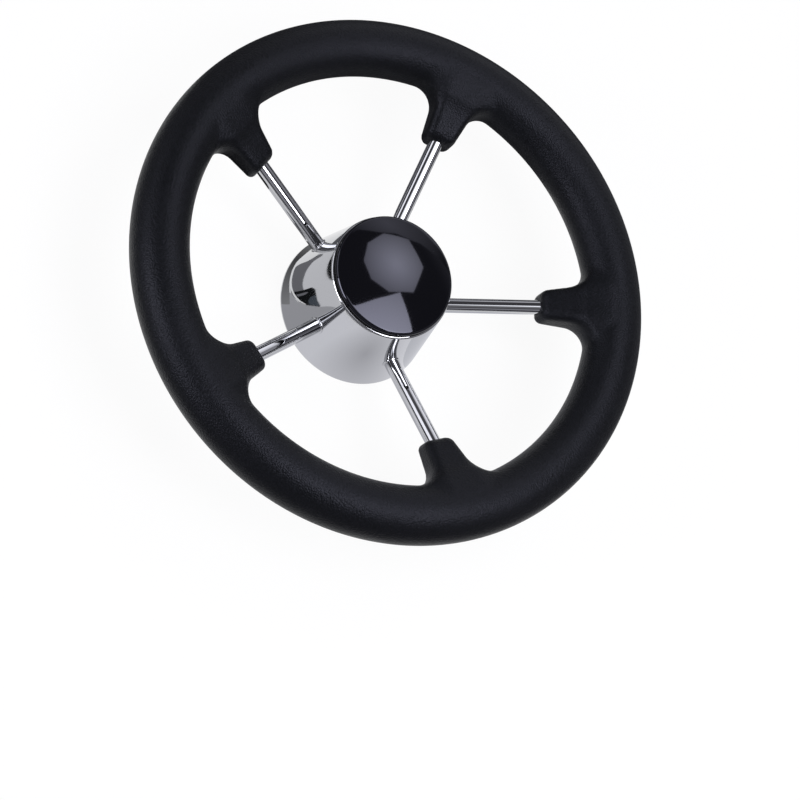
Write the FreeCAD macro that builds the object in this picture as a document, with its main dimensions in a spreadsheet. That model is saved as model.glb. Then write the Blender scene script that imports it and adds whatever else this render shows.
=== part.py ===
"""Five spoke boat steering wheel: spun stainless hub cone, steel rods, moulded foam grip and press-in cap.

The wheel lies face up on the rear edge of its hub cone: +Z is the wheel's axis and points out of its face,
and the origin is the centre of the cone's rear edge. One spoke points along -Y. All sizes are in millimetres
and degrees.
"""

import FreeCAD, Part
import math
import os

import Sketcher

SIZES = (
    ("ring_radius", 153.4, "wheel axis to the middle of the grip's round section"),
    ("grip_radius", 18.1, "radius of the grip's round section"),
    ("rim_height", 66.5, "middle of the grip above the cone's rear edge"),
    ("core_radius", 6.0, "radius of the steel bar bent into the ring inside the grip"),
    ("spoke_count", 5, "number of spokes and horns"),
    ("rod_radius", 4.76, "radius of a spoke rod, three eighths of an inch across"),
    ("rod_slope", 22.0, "angle between a rod and the plane of the grip"),
    ("rod_lift", 6.0, "a rod's centre line above the ring's, where it crosses the ring"),
    ("rod_overrun", 3.0, "how far a rod runs on past the ring's centre line"),
    ("horn_end_radius", 105.3, "wheel axis to the end face of a horn, on the rod's centre line"),
    ("horn_lift", 1.0, "middle of a horn above the rod's centre line"),
    ("horn_width", 19.4, "width of a horn at its end face"),
    ("horn_depth", 17.0, "depth of a horn at its end face, along the wheel's axis"),
    ("horn_corner", 5.2, "corner radius of a horn's section"),
    ("horn_root_width", 31.0, "width of a horn where it enters the grip"),
    ("horn_root_depth", 24.6, "depth of a horn where it enters the grip"),
    ("horn_blend", 12.0, "radius of the hollow blend between a horn and the grip"),
    ("horn_nose", 4.0, "rounding of a horn's end face"),
    ("bond_gap", 0.05, "room in the foam and in the cone's holes round the steel they hold"),
    ("cone_rear_radius", 50.7, "outer radius of the hub cone at its rear edge"),
    ("cone_front_radius", 40.4, "outer radius of the hub cone at its front"),
    ("cone_height", 62.2, "height of the hub cone, from its rear edge to its front flange"),
    ("cone_wall", 1.5, "thickness of the spun sheet"),
    ("cone_roll", 1.8, "outer radius of the bend at the cone's front edge"),
    ("neck_radius", 33.5, "radius of the opening that the cap plugs into"),
    ("neck_depth", 9.0, "length of the neck turned down inside that opening"),
    ("neck_lead", 0.7, "rounding at the mouth of the neck"),
    ("boss_radius", 19.0, "outer radius of the turned boss"),
    ("boss_back", 6.0, "the boss's rear face above the cone's rear edge"),
    ("boss_length", 26.0, "length of the boss"),
    ("boss_chamfer", 1.2, "chamfer on the boss's outer edges"),
    ("taper_radius", 9.525, "radius of the bore at the boss's rear face, for a three quarter inch shaft"),
    ("taper_ratio", 12.0, "length over which the bore grows one unit in diameter"),
    ("key_width", 4.76, "width of the keyway, three sixteenths of an inch"),
    ("key_depth", 2.4, "depth of the keyway from the wall of the bore"),
    ("cap_inset", 0.9, "step from the cone's front edge in to the side of the cap"),
    ("cap_side", 4.2, "height of the cap's side, up to where side and dome would meet"),
    ("cap_round", 2.8, "radius between the cap's side and its dome"),
    ("cap_rise", 5.0, "rise of the dome above its edge"),
    ("cap_wall", 2.2, "wall of the moulded cap"),
    ("plug_depth", 8.0, "depth of the cap's plug below the flange"),
    ("plug_wall", 3.0, "wall of the plug"),
    ("plug_gap", 0.3, "gap between the plug and the neck"),
    ("seal_thickness", 1.7, "thickness of the rubber ring round the plug"),
    ("seal_gap", 0.15, "gap drawn between the rubber ring and the neck"),
    ("seal_drop", 4.6, "middle of the rubber ring below the flange"),
    ("groove_room", 0.2, "extra width of the groove that the rubber ring lies in"),
)

CAP_RADIUS = "Sizes.cone_front_radius - Sizes.cap_inset"
CAP_SHOULDER = "Sizes.cone_height + Sizes.cap_side"
CAP_TOP = "Sizes.cone_height + Sizes.cap_side + Sizes.cap_rise"
PLUG_RADIUS = "Sizes.neck_radius - Sizes.plug_gap"
SEAL_OUTSIDE = "Sizes.neck_radius - Sizes.seal_gap"
SEAL_HEIGHT = "Sizes.cone_height - Sizes.seal_drop"
GROOVE_FLOOR = "Sizes.neck_radius - Sizes.seal_gap - Sizes.seal_thickness"
GROOVE_HALF = "(Sizes.seal_thickness + Sizes.groove_room) / 2"
BOSS_TOP = "Sizes.boss_back + Sizes.boss_length"
TAPER_SMALL = "Sizes.taper_radius - Sizes.boss_length / (2 * Sizes.taper_ratio)"
ROD_START = "Sizes.boss_radius - Sizes.rod_radius"
ROD_END = "Sizes.ring_radius + Sizes.rod_overrun"
ON_SURFACE = 1e-3

doc = FreeCAD.newDocument("boat_steering_wheel")
sheet = doc.addObject("Spreadsheet::Sheet", "Sizes")
for row, (alias, value, meaning) in enumerate(SIZES, start=1):
    sheet.set("A%d" % row, alias)
    sheet.set("B%d" % row, str(value))
    sheet.set("C%d" % row, meaning)
    sheet.setAlias("B%d" % row, alias)
doc.recompute()


def size(expression):
    """The value of an expression over the sheet's cells."""
    return float(sheet.evalExpression(expression.replace("Sizes.", "")))


def new_body(label):
    body = doc.addObject("PartDesign::Body", label)
    body.Label = label
    return body


def origin_feature(body, role):
    return next(f for f in body.Origin.OriginFeatures if f.Role == role)


def new_sketch(body, name, plane="XZ_Plane"):
    sketch = body.newObject("Sketcher::SketchObject", name)
    sketch.AttachmentSupport = [(origin_feature(body, plane), "")]
    sketch.MapMode = "FlatFace"
    return sketch


def rod_height(along):
    """Expression for the height of a rod's centre line at the distance along from the wheel's axis."""
    return "Sizes.rim_height + Sizes.rod_lift - (Sizes.ring_radius - (%s)) * tan(Sizes.rod_slope)" % along


def sketch_facing_axis(body, name, along, height):
    """A sketch parallel to the wheel's axis, with its origin at a distance along -Y and at a height."""
    sketch = new_sketch(body, name)
    sketch.AttachmentOffset.Base = FreeCAD.Vector(0, size(height), size(along))
    sketch.setExpression("AttachmentOffset.Base.y", height)
    sketch.setExpression("AttachmentOffset.Base.z", along)
    return sketch


def sketch_across_rod(body, name, along):
    """A sketch square to the rod that points along -Y, with its origin on the rod's centre line."""
    sketch = sketch_facing_axis(body, name, along, rod_height(along))
    tilt = FreeCAD.Rotation(FreeCAD.Vector(1, 0, 0), -size("Sizes.rod_slope"))
    sketch.AttachmentOffset = FreeCAD.Placement(sketch.AttachmentOffset.Base, tilt)
    sketch.setExpression("AttachmentOffset.Rotation.Angle", "-Sizes.rod_slope")
    return sketch


def bind(sketch, constraint, expression):
    """Adds a dimension to a sketch and ties it to the sheet."""
    index = sketch.addConstraint(constraint)
    sketch.setExpression("Constraints[%d]" % index, expression)


def place_point(sketch, geometry, position, across, up):
    """Holds a point at the distances across and up from the sketch's origin."""
    origin, horizontal, vertical = (-1, 1), -1, -2
    if across == "0":
        sketch.addConstraint(Sketcher.Constraint("PointOnObject", geometry, position, vertical))
    else:
        constraint = Sketcher.Constraint("DistanceX", *origin, geometry, position, size(across))
        bind(sketch, constraint, across)
    if up == "0":
        sketch.addConstraint(Sketcher.Constraint("PointOnObject", geometry, position, horizontal))
    else:
        constraint = Sketcher.Constraint("DistanceY", *origin, geometry, position, size(up))
        bind(sketch, constraint, up)


def dome_arc(start, end):
    """The arc from start to end centred on the vertical axis, and which of its ends comes first."""
    middle = (end.x**2 + end.y**2 - start.x**2 - start.y**2) / (2 * (end.y - start.y))
    centre = FreeCAD.Vector(0, middle, 0)
    angles = [math.atan2(p.y - middle, p.x) for p in (start, end)]
    circle = Part.Circle(centre, FreeCAD.Vector(0, 0, 1), (start - centre).Length)
    arc = Part.ArcOfCircle(circle, min(angles), max(angles))
    return arc, (1, 2) if angles[0] < angles[1] else (2, 1)


def draw_outline(sketch, corners, domes=()):
    """Closes an outline through corners, given as pairs of expressions. The sides in domes are arcs."""
    points = [FreeCAD.Vector(size(across), size(up), 0) for across, up in corners]
    walk = []
    for i, start in enumerate(points):
        end = points[(i + 1) % len(points)]
        if i in domes:
            arc, ends = dome_arc(start, end)
            side = sketch.addGeometry(arc, False)
            sketch.addConstraint(Sketcher.Constraint("PointOnObject", side, 3, -2))
        else:
            side = sketch.addGeometry(Part.LineSegment(start, end), False)
            ends = (1, 2)
        walk.append((side, *ends))
    for i, (side, first, last) in enumerate(walk):
        follower, its_first, _ = walk[(i + 1) % len(walk)]
        sketch.addConstraint(Sketcher.Constraint("Coincident", side, last, follower, its_first))
        place_point(sketch, side, first, *corners[i])


def draw_circle(sketch, across, up, radius):
    centre = FreeCAD.Vector(size(across), size(up), 0)
    circle = sketch.addGeometry(Part.Circle(centre, FreeCAD.Vector(0, 0, 1), size(radius)), False)
    place_point(sketch, circle, 3, across, up)
    bind(sketch, Sketcher.Constraint("Radius", circle, size(radius)), radius)


def draw_rounded_rectangle(sketch, width, depth, corner):
    """A rectangle with rounded corners, centred on the sketch's origin."""
    half_w, half_d, r = size(width) / 2, size(depth) / 2, size(corner)
    arcs = []
    for quarter, (right, up) in enumerate(((1, 1), (-1, 1), (-1, -1), (1, -1))):
        centre = FreeCAD.Vector(right * (half_w - r), up * (half_d - r), 0)
        circle = Part.Circle(centre, FreeCAD.Vector(0, 0, 1), r)
        start = quarter * math.pi / 2
        arcs.append(sketch.addGeometry(Part.ArcOfCircle(circle, start, start + math.pi / 2), False))
    sides = []
    for i, arc in enumerate(arcs):
        follower = arcs[(i + 1) % 4]
        start, end = sketch.Geometry[arc].EndPoint, sketch.Geometry[follower].StartPoint
        side = sketch.addGeometry(Part.LineSegment(start, end), False)
        sketch.addConstraint(Sketcher.Constraint("Tangent", arc, 2, side, 1))
        sketch.addConstraint(Sketcher.Constraint("Tangent", side, 2, follower, 1))
        sides.append(side)
    top, left, bottom, right = sides
    sketch.addConstraint(Sketcher.Constraint("Horizontal", top))
    sketch.addConstraint(Sketcher.Constraint("Vertical", left))
    sketch.addConstraint(Sketcher.Constraint("Horizontal", bottom))
    sketch.addConstraint(Sketcher.Constraint("Vertical", right))
    for follower in arcs[1:]:
        sketch.addConstraint(Sketcher.Constraint("Equal", arcs[0], follower))
    bind(sketch, Sketcher.Constraint("Radius", arcs[0], r), corner)
    bind(sketch, Sketcher.Constraint("DistanceX", -1, 1, right, 1, half_w), "(%s) / 2" % width)
    bind(sketch, Sketcher.Constraint("DistanceX", left, 1, -1, 1, half_w), "(%s) / 2" % width)
    bind(sketch, Sketcher.Constraint("DistanceY", -1, 1, top, 1, half_d), "(%s) / 2" % depth)
    bind(sketch, Sketcher.Constraint("DistanceY", bottom, 1, -1, 1, half_d), "(%s) / 2" % depth)


def volume_of(body):
    return 0.0 if body.Shape.isNull() else body.Shape.Volume


def revolve(body, sketch, name, kind="PartDesign::Revolution"):
    """Turns a sketch all the way round the wheel's axis, to add material or, as a groove, to cut it."""
    before = volume_of(body)
    feature = body.newObject(kind, name)
    feature.Profile = sketch
    feature.ReferenceAxis = (sketch, ["V_Axis"])
    feature.Angle = 360
    doc.recompute()
    if abs(feature.Shape.Volume - before) < ON_SURFACE:
        raise RuntimeError("%s changed nothing" % name)
    return feature


def pocket(body, sketch, name, length, symmetric=False):
    """Cuts a sketch's outline out of the body, against the sketch's normal or to both sides of it."""
    before = volume_of(body)
    feature = body.newObject("PartDesign::Pocket", name)
    feature.Profile = sketch
    feature.setExpression("Length", length)
    if symmetric:
        feature.SideType = "Symmetric"
    doc.recompute()
    if before - feature.Shape.Volume < ON_SURFACE:
        raise RuntimeError("%s cut nothing" % name)
    return feature


def repeat_round_axis(body, feature, name):
    """Copies a feature to every spoke."""
    pattern = body.newObject("PartDesign::PolarPattern", name)
    pattern.Originals = [feature]
    pattern.Axis = (origin_feature(body, "Z_Axis"), [""])
    pattern.Angle = 360
    pattern.setExpression("Occurrences", "Sizes.spoke_count")
    body.Tip = pattern
    doc.recompute()
    return pattern


def edges_where(shape, test):
    """Names of the edges whose ends and inner points all pass the test."""
    names = []
    for number, edge in enumerate(shape.Edges, start=1):
        if not edge.Degenerated and all(test(point) for point in edge.discretize(7)):
            names.append("Edge%d" % number)
    return names


def dress_edges(body, base, name, kind, test, **sizes):
    """Fillets or chamfers the edges of base that pass the test."""
    feature = body.newObject(kind, name)
    feature.Base = (base, edges_where(base.Shape, test))
    for field, expression in sizes.items():
        feature.setExpression(field, expression)
    doc.recompute()
    return feature


def ring_edge(radius, height):
    """A test for points on the level circle with this radius and height."""
    at_radius, at_height = size(radius), size(height)

    def test(point):
        across = abs(math.hypot(point.x, point.y) - at_radius)
        return across < ON_SURFACE and abs(point.z - at_height) < ON_SURFACE

    return test


def on_grip_surface(point):
    across = math.hypot(point.x, point.y) - size("Sizes.ring_radius")
    from_middle = math.hypot(across, point.z - size("Sizes.rim_height"))
    return abs(from_middle - size("Sizes.grip_radius")) < ON_SURFACE


def in_horn_end_plane(point):
    """True for points in the plane of a horn's end face, on the horn nearest to them."""
    step = 2 * math.pi / size("Sizes.spoke_count")
    first = -math.pi / 2
    angle = first + step * round((math.atan2(point.y, point.x) - first) / step)
    out = point.x * math.cos(angle) + point.y * math.sin(angle)
    return abs(out - size("Sizes.horn_end_radius")) < ON_SURFACE


def make_foam_grip():
    """The moulded grip: a round ring with one horn over the outer end of each rod."""
    body = new_body("foam_grip")
    section = new_sketch(body, "grip_section")
    draw_circle(section, "Sizes.ring_radius", "Sizes.rim_height", "Sizes.grip_radius")
    revolve(body, section, "grip_ring")

    end_height = rod_height("Sizes.horn_end_radius") + " + Sizes.horn_lift"
    end = sketch_facing_axis(body, "horn_end", "Sizes.horn_end_radius", end_height)
    draw_rounded_rectangle(end, "Sizes.horn_width", "Sizes.horn_depth", "Sizes.horn_corner")
    root_radius = "Sizes.ring_radius - Sizes.core_radius"
    root_height = rod_height(root_radius) + " + Sizes.horn_lift"
    root = sketch_facing_axis(body, "horn_root", root_radius, root_height)
    draw_rounded_rectangle(root, "Sizes.horn_root_width", "Sizes.horn_root_depth", "Sizes.horn_corner")
    horn = body.newObject("PartDesign::AdditiveLoft", "horn")
    horn.Profile = end
    horn.Sections = [root]
    horn.Ruled = True
    doc.recompute()
    horns = repeat_round_axis(body, horn, "horns")

    def horn_meets_grip(edge):
        return not isinstance(edge.Curve, Part.Circle)

    seams = edges_where(horns.Shape, on_grip_surface)
    seams = [name for name in seams if horn_meets_grip(horns.Shape.getElement(name))]
    blend = body.newObject("PartDesign::Fillet", "horn_blends")
    blend.Base = (horns, seams)
    blend.setExpression("Radius", "Sizes.horn_blend")
    doc.recompute()
    dress_edges(body, blend, "horn_noses", "PartDesign::Fillet", in_horn_end_plane, Radius="Sizes.horn_nose")

    core = new_sketch(body, "core_section")
    draw_circle(core, "Sizes.ring_radius", "Sizes.rim_height", "Sizes.core_radius + Sizes.bond_gap")
    revolve(body, core, "core_room", "PartDesign::Groove")
    rod = sketch_across_rod(body, "rod_room_section", ROD_END)
    draw_circle(rod, "0", "0", "Sizes.rod_radius + Sizes.bond_gap")
    past_end = "%s - Sizes.horn_end_radius + Sizes.horn_depth" % ROD_END
    room = pocket(body, rod, "rod_room", "(%s) / cos(Sizes.rod_slope)" % past_end)
    repeat_round_axis(body, room, "rod_rooms")
    return body


def make_rim_ring():
    """The steel bar ring that the foam is moulded round."""
    body = new_body("rim_ring")
    section = new_sketch(body, "bar_section")
    draw_circle(section, "Sizes.ring_radius", "Sizes.rim_height", "Sizes.core_radius")
    revolve(body, section, "bar_ring")
    return body


def make_spoke(number):
    """A straight rod, coped at its inner end to the boss and notched over the ring at its outer end."""
    body = new_body("spoke_%d" % number)
    section = sketch_across_rod(body, "rod_section", ROD_START)
    draw_circle(section, "0", "0", "Sizes.rod_radius")
    rod = body.newObject("PartDesign::Pad", "rod")
    rod.Profile = section
    rod.setExpression("Length", "(%s - (%s)) / cos(Sizes.rod_slope)" % (ROD_END, ROD_START))
    doc.recompute()
    cope = new_sketch(body, "cope_outline")
    below_rod = rod_height(ROD_START) + " - 2 * Sizes.rod_radius"
    above_rod = rod_height("Sizes.boss_radius") + " + 2 * Sizes.rod_radius"
    corners = (
        ("0", below_rod),
        ("Sizes.boss_radius", below_rod),
        ("Sizes.boss_radius", above_rod),
        ("0", above_rod),
    )
    draw_outline(cope, corners)
    revolve(body, cope, "boss_cope", "PartDesign::Groove")
    ring = new_sketch(body, "ring_section")
    draw_circle(ring, "Sizes.ring_radius", "Sizes.rim_height", "Sizes.core_radius")
    revolve(body, ring, "ring_notch", "PartDesign::Groove")
    turn = 360.0 / size("Sizes.spoke_count") * (number - 1)
    body.Placement.Rotation = FreeCAD.Rotation(FreeCAD.Vector(0, 0, 1), turn)
    return body


def make_hub_cone():
    """The spun cone: a tapered wall, a flat flange for the cap and a neck turned down inside it."""
    body = new_body("hub_cone")
    section = new_sketch(body, "cone_section")
    taper = "(Sizes.cone_rear_radius - Sizes.cone_front_radius) / Sizes.cone_height"
    under_flange = "Sizes.cone_height - Sizes.cone_wall"
    neck_end = "Sizes.cone_height - Sizes.neck_depth"
    corners = (
        ("Sizes.cone_rear_radius", "0"),
        ("Sizes.cone_front_radius", "Sizes.cone_height"),
        ("Sizes.neck_radius", "Sizes.cone_height"),
        ("Sizes.neck_radius", neck_end),
        ("Sizes.neck_radius + Sizes.cone_wall", neck_end),
        ("Sizes.neck_radius + Sizes.cone_wall", under_flange),
        ("Sizes.cone_front_radius - Sizes.cone_wall + Sizes.cone_wall * %s" % taper, under_flange),
        ("Sizes.cone_rear_radius - Sizes.cone_wall", "0"),
    )
    draw_outline(section, corners)
    shell = revolve(body, section, "spun_shell")
    front = ring_edge("Sizes.cone_front_radius", "Sizes.cone_height")
    rolled = dress_edges(body, shell, "rolled_edge", "PartDesign::Fillet", front, Radius="Sizes.cone_roll")
    mouth = ring_edge("Sizes.neck_radius", "Sizes.cone_height")
    dress_edges(body, rolled, "neck_mouth", "PartDesign::Fillet", mouth, Radius="Sizes.neck_lead")
    rod = sketch_across_rod(body, "rod_hole_section", "Sizes.cone_rear_radius")
    draw_circle(rod, "0", "0", "Sizes.rod_radius + Sizes.bond_gap")
    hole = pocket(body, rod, "rod_hole", "Sizes.cone_rear_radius - Sizes.boss_radius")
    repeat_round_axis(body, hole, "rod_holes")
    return body


def make_hub_boss():
    """The turned boss that the rods are welded to, bored to a taper for the helm shaft.

    Its keyway lies opposite spoke_1.
    """
    body = new_body("hub_boss")
    section = new_sketch(body, "boss_section")
    corners = (
        ("Sizes.taper_radius", "Sizes.boss_back"),
        ("Sizes.boss_radius", "Sizes.boss_back"),
        ("Sizes.boss_radius", BOSS_TOP),
        (TAPER_SMALL, BOSS_TOP),
    )
    draw_outline(section, corners)
    blank = revolve(body, section, "turned_blank")
    rear = ring_edge("Sizes.boss_radius", "Sizes.boss_back")
    front = ring_edge("Sizes.boss_radius", BOSS_TOP)

    def outer(point):
        return rear(point) or front(point)

    dress_edges(body, blank, "outer_chamfers", "PartDesign::Chamfer", outer, Size="Sizes.boss_chamfer")
    key = new_sketch(body, "keyway_side", "YZ_Plane")
    corners = (
        ("0", "Sizes.boss_back"),
        ("Sizes.taper_radius + Sizes.key_depth", "Sizes.boss_back"),
        (TAPER_SMALL + " + Sizes.key_depth", BOSS_TOP),
        ("0", BOSS_TOP),
    )
    draw_outline(key, corners)
    pocket(body, key, "keyway", "Sizes.key_width", symmetric=True)
    return body


def make_centre_cap():
    """The moulded cap: a shallow dome on a side wall, and a plug with a groove for the rubber ring."""
    body = new_body("centre_cap")
    section = new_sketch(body, "cap_section")
    ceiling = CAP_SHOULDER + " - Sizes.cap_wall"
    plug_bottom = "Sizes.cone_height - Sizes.plug_depth"
    groove_top = "%s + %s" % (SEAL_HEIGHT, GROOVE_HALF)
    groove_bottom = "%s - %s" % (SEAL_HEIGHT, GROOVE_HALF)
    corners = (
        ("0", CAP_TOP),
        (CAP_RADIUS, CAP_SHOULDER),
        (CAP_RADIUS, "Sizes.cone_height"),
        (CAP_RADIUS + " - Sizes.cap_wall", "Sizes.cone_height"),
        (CAP_RADIUS + " - Sizes.cap_wall", ceiling),
        (PLUG_RADIUS, ceiling),
        (PLUG_RADIUS, groove_top),
        (GROOVE_FLOOR, groove_top),
        (GROOVE_FLOOR, groove_bottom),
        (PLUG_RADIUS, groove_bottom),
        (PLUG_RADIUS, plug_bottom),
        (PLUG_RADIUS + " - Sizes.plug_wall", plug_bottom),
        (PLUG_RADIUS + " - Sizes.plug_wall", ceiling),
        ("0", CAP_TOP + " - Sizes.cap_wall"),
    )
    draw_outline(section, corners, domes=(0, 12))
    moulding = revolve(body, section, "moulding")
    shoulder = ring_edge(CAP_RADIUS, CAP_SHOULDER)
    dress_edges(body, moulding, "round_shoulder", "PartDesign::Fillet", shoulder, Radius="Sizes.cap_round")
    return body


def make_cap_seal_ring():
    """The rubber ring in the plug's groove, which grips the neck."""
    body = new_body("cap_seal_ring")
    section = new_sketch(body, "seal_section")
    middle = SEAL_OUTSIDE + " - Sizes.seal_thickness / 2"
    draw_circle(section, middle, SEAL_HEIGHT, "Sizes.seal_thickness / 2")
    revolve(body, section, "seal")
    return body


bodies = [make_foam_grip(), make_rim_ring()]
for number in range(1, int(size("Sizes.spoke_count")) + 1):
    bodies.append(make_spoke(number))
bodies += [make_hub_cone(), make_hub_boss(), make_centre_cap(), make_cap_seal_ring()]
doc.recompute()

for item in doc.Objects:
    if "Invalid" in item.State or "Error" in item.State:
        raise RuntimeError("%s did not compute: %s" % (item.Label, item.State))
for body in bodies:
    shape = body.Shape
    if shape.isNull() or not shape.isValid() or len(shape.Solids) != 1:
        raise RuntimeError("%s is not one valid solid" % body.Label)

os.makedirs("parts", exist_ok=True)
for body in bodies:
    body.Shape.exportStep("parts/%s.step" % body.Label)
    print("%s %.1f cm3" % (body.Label, body.Shape.Volume / 1000))
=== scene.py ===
"""Dresses the boat steering wheel: grip, rods, hub cone, turned boss, gloss cap, studio and camera."""

import math

import bmesh
import bpy
import numpy as np
from mathutils import Matrix, Vector


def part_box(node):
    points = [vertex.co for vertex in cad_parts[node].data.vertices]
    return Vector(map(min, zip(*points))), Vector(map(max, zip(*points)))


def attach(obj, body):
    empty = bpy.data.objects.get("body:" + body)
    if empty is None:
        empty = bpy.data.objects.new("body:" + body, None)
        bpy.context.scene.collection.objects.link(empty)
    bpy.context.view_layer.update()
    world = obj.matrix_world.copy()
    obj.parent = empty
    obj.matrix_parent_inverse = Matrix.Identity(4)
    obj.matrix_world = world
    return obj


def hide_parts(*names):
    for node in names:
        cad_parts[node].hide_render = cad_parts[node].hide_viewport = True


bl_info = {
    "name": "Boat Steering Wheel",
    "version": (1, 0, 0),
    "blender": (4, 5, 0),
    "location": "View3D > Sidebar > Wheel",
    "description": "Builds the visible pieces of a five spoke boat steering wheel round its packed solids",
    "category": "Object",
}

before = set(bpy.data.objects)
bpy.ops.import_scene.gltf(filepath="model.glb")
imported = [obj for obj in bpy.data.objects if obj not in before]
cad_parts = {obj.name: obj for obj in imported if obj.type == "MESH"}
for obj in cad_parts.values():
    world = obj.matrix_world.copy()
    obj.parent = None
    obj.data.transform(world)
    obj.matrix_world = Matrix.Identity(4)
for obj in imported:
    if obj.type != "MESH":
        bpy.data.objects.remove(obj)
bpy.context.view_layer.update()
MM = 0.001
ROD_NODES = sorted(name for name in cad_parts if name.startswith("spoke_"))


def half_span(node, axis):
    """Half of a node's size along one axis, in metres."""
    low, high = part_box(node)
    return (high[axis] - low[axis]) / 2


def middle(node, axis):
    low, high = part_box(node)
    return (high[axis] + low[axis]) / 2


BAR_RADIUS = half_span("rim_ring", 2)
RING_RADIUS = half_span("rim_ring", 0) - BAR_RADIUS
RIM_HEIGHT = middle("rim_ring", 2)
GRIP_RADIUS = half_span("foam_grip", 0) - RING_RADIUS
ROD_RADIUS = half_span("spoke_1", 0)
CONE_REAR = half_span("hub_cone", 0)
CONE_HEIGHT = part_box("hub_cone")[1].z
BOSS_RADIUS = half_span("hub_boss", 0)
BOSS_BACK, BOSS_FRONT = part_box("hub_boss")[0].z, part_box("hub_boss")[1].z
CAP_RADIUS = half_span("centre_cap", 0)
CAP_BOTTOM, CAP_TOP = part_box("centre_cap")[0].z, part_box("centre_cap")[1].z
SEAL_RADIUS = half_span("cap_seal_ring", 0)
SEAL_THICKNESS = half_span("cap_seal_ring", 2) * 2
SEAL_HEIGHT = middle("cap_seal_ring", 2)

ON_AXIS = 1e-7  # a turned point nearer to the axis than this, in metres, is one vertex
LEAST_VERTICES = 1000  # a grip with fewer than this came out empty or broken


def length(name, default, description):
    """A property for a length in metres."""
    return bpy.props.FloatProperty(
        name=name, description=description, default=default, unit="LENGTH", precision=4
    )


def colour(name, default, description):
    """A property for an sRGB colour written as hex."""
    return bpy.props.StringProperty(name=name, description=description, default=default)


class GripSettings(bpy.types.PropertyGroup):
    voxel: length("Voxel", 1.7 * MM, "Mesh spacing of the moulded grip")
    horn_end: length("Horn end", 105.3 * MM, "Wheel axis to the end face of a horn")
    horn_lift: length("Horn lift", 1.0 * MM, "Middle of a horn above the rod's centre line")
    end_width: length("End width", 19.4 * MM, "Width of a horn at its end face")
    end_depth: length("End depth", 17.0 * MM, "Depth of a horn at its end face")
    root_width: length("Root width", 31.0 * MM, "Width of a horn over the steel ring")
    root_depth: length("Root depth", 24.6 * MM, "Depth of a horn over the steel ring")
    corner: length("Corner", 5.2 * MM, "Corner radius of a horn's section")
    nose: length("Nose", 4.0 * MM, "Rounding of a horn's end face")
    blend: length("Blend", 14.0 * MM, "Radius of the hollow between a horn and the grip")
    thinning: length("Blend thinning", 8.0 * MM, "Depth below the grip's top over which the blend thins out")
    foam: colour("Foam", "#0e0f12", "Colour of the foam's skin")
    grain: length("Grain", 1.1 * MM, "Distance between the grains of the leather pattern")


class RodSettings(bpy.types.PropertyGroup):
    count: bpy.props.IntProperty(name="Count", description="Number of rods", default=len(ROD_NODES), min=1)
    slope: bpy.props.FloatProperty(
        name="Slope", description="Angle between a rod and the plane of the grip", subtype="ANGLE",
        default=math.radians(22.0),
    )
    lift: length("Lift", 6.0 * MM, "Rod's centre line above the ring's, where it crosses the ring")
    inner_end: length("Inner end", 22.0 * MM, "Wheel axis to the inner end of a rod, inside the cone")
    bead: length("Bead", 0.9 * MM, "Radius of the weld bead where a rod enters the cone")
    steel: colour("Steel", "#c5c6c9", "Colour of polished stainless steel")


class HubSettings(bpy.types.PropertyGroup):
    front_radius: length("Front radius", 40.4 * MM, "Outer radius of the cone at its front")
    wall: length("Wall", 1.5 * MM, "Thickness of the spun sheet")
    roll: length("Roll", 1.8 * MM, "Outer radius of the bend at the cone's front edge")
    neck_radius: length("Neck radius", 33.5 * MM, "Radius of the opening that the cap plugs into")
    neck_depth: length("Neck depth", 9.0 * MM, "Length of the neck turned down inside the opening")
    neck_lead: length("Neck lead", 0.7 * MM, "Rounding at the mouth of the neck")
    boss_chamfer: length("Boss chamfer", 1.2 * MM, "Chamfer on the boss's outer edges")
    bore_rear: length("Bore at the rear", 9.525 * MM, "Radius of the tapered bore at the boss's rear face")
    bore_front: length("Bore at the front", 8.442 * MM, "Radius of the tapered bore at the boss's front face")
    key_width: length("Key width", 4.76 * MM, "Width of the keyway")
    key_depth: length("Key depth", 2.4 * MM, "Depth of the keyway from the wall of the bore")


class CapSettings(bpy.types.PropertyGroup):
    side: length("Side", 4.2 * MM, "Height of the cap's side, up to where side and dome would meet")
    round: length("Shoulder", 2.8 * MM, "Radius between the cap's side and its dome")
    # the satin band is also darkened by a cut-down specular level, as painted shade
    satin: length("Satin side", 2.6 * MM, "Height of the part of the cap's side with a satin face")
    wall: length("Wall", 2.2 * MM, "Wall of the moulded cap")
    plug_radius: length("Plug radius", 33.2 * MM, "Outer radius of the plug")
    plug_wall: length("Plug wall", 3.0 * MM, "Wall of the plug")
    groove: length("Groove", 1.9 * MM, "Width of the groove for the rubber ring")
    plastic: colour("Plastic", "#08080b", "Colour of the cap")


class StudioSettings(bpy.types.PropertyGroup):
    floor_radius: length("Floor radius", 4.0, "Radius of the round studio floor")
    backdrop: colour("Backdrop", "#ffffff", "Colour of the floor and backdrop")
    horizon: bpy.props.FloatProperty(
        name="Wall light", description="Brightness of the studio's pale walls in reflections",
        default=0.34, min=0,
    )
    ceiling: bpy.props.FloatProperty(
        name="Ceiling light", description="Brightness of the dark ceiling in reflections",
        default=0.07, min=0,
    )
    lens: bpy.props.FloatProperty(
        name="Lens", description="Focal length of the camera", default=106.33, unit="CAMERA"
    )
    shift: bpy.props.FloatProperty(
        name="Shift", description="Lens axis below the picture's middle, as a share of its width",
        default=-0.1471,
    )
    eye: bpy.props.FloatVectorProperty(
        name="Eye", description="Place of the camera",
        default=(-0.6808, -0.3413, 1.3205), subtype="TRANSLATION",
    )
    right: bpy.props.FloatVectorProperty(
        name="Right", description="Direction that the picture's right side shows",
        default=(0.87395, -0.27184, 0.40288), subtype="DIRECTION",
    )
    up: bpy.props.FloatVectorProperty(
        name="Up", description="Direction that the picture's upper side shows",
        default=(0.14011, 0.93468, 0.32672), subtype="DIRECTION",
    )


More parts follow.
